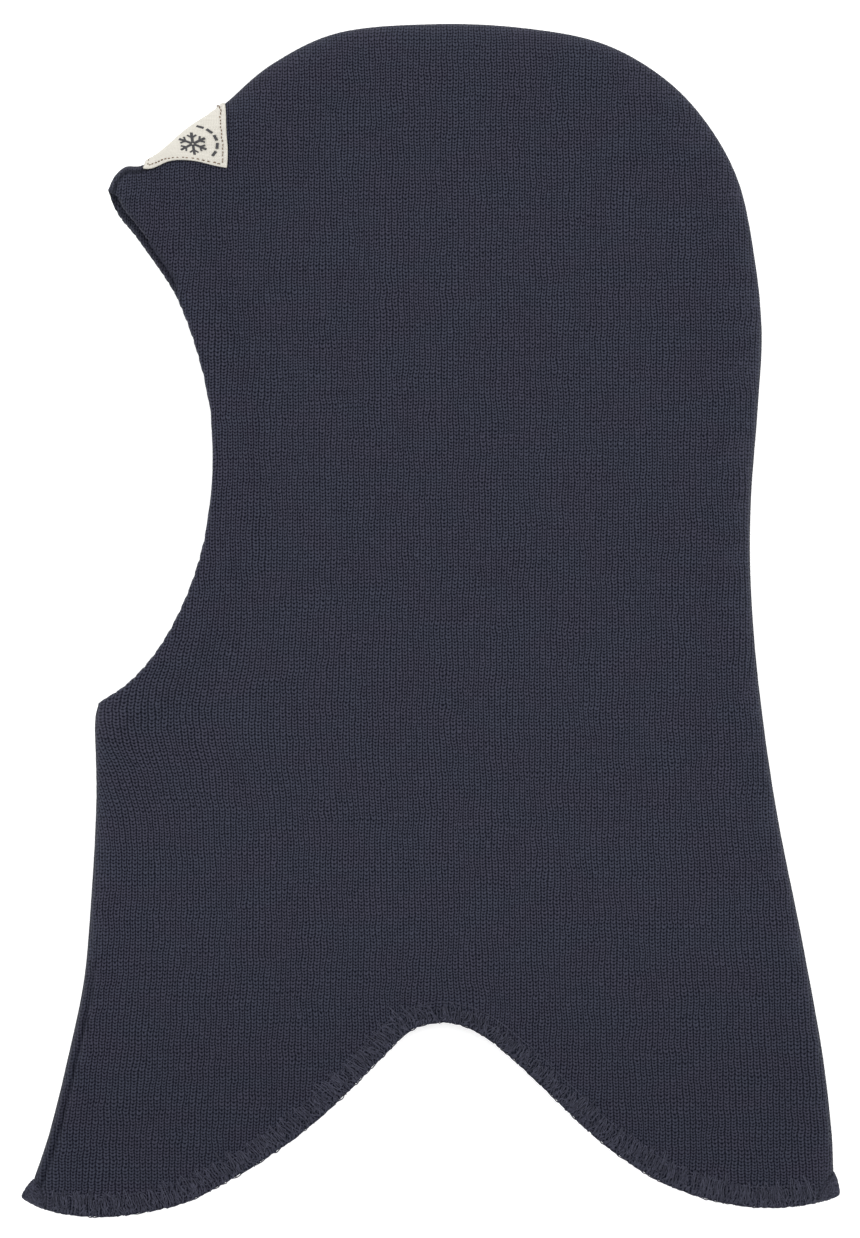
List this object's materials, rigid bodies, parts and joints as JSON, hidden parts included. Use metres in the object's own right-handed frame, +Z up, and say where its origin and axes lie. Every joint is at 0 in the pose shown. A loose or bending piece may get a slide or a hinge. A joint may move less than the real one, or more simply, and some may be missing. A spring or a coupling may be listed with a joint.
{
  "type": "balaclava",
  "caption": "Child's double-layer rib-knit balaclava with face opening, front bib and back flap, lying flat on its right side.",
  "frame": {"origin": "bottom centre of the overall box, on the table under the hat as it lies on its right side", "axes": "+Z up from the table, the wearer's left; +X to the back of the head, -X to the face; +Y to the crown, -Y to the hem"},
  "size_m": [0.219, 0.3192, 0.0198],
  "materials": {
    "outer_knit": "navy fine rib-knit wool, matt",
    "lining_knit": "navy fine rib-knit wool, matt",
    "seam_thread": "navy overlock thread over knit allowance",
    "hem_thread": "navy textured overlock thread",
    "label_cloth": "cream plain-weave cotton tape",
    "label_thread": "tan sewing thread",
    "label_print": "charcoal print, matt",
    "care_satin": "white woven satin, slight gloss",
    "care_thread": "white sewing thread"
  },
  "bodies": {
    "hat": {"outer_left_panel": "outer_knit", "outer_right_panel": "outer_knit", "lining_left_panel": "lining_knit", "lining_right_panel": "lining_knit", "crown_back_seam_outer": "seam_thread", "crown_back_seam_lining": "seam_thread", "bib_seam_outer": "seam_thread", "bib_seam_lining": "seam_thread", "face_edge_seam_left": "seam_thread", "face_edge_seam_right": "seam_thread", "hem_overlock_left": "hem_thread", "hem_overlock_right": "hem_thread", "hem_needle_thread_left": "hem_thread", "hem_needle_thread_right": "hem_thread", "hem_corner_tack_front": "hem_thread", "hem_corner_tack_back": "hem_thread", "forehead_label": "label_cloth", "forehead_label_stitching": "label_thread", "forehead_label_snowflake": "label_print", "forehead_label_arc": "label_print", "care_label_stitching": "care_thread"},
    "care_label_flap": {"care_label": "care_satin"}
  },
  "joints": [
    {"name": "care_label_hinge", "type": "hinge", "parent": "hat", "child": "care_label_flap", "pos_m": [0.075, 0.012, 0.00699], "axis": [0, 1, 0], "range_deg": [0, 16]}
  ]
}
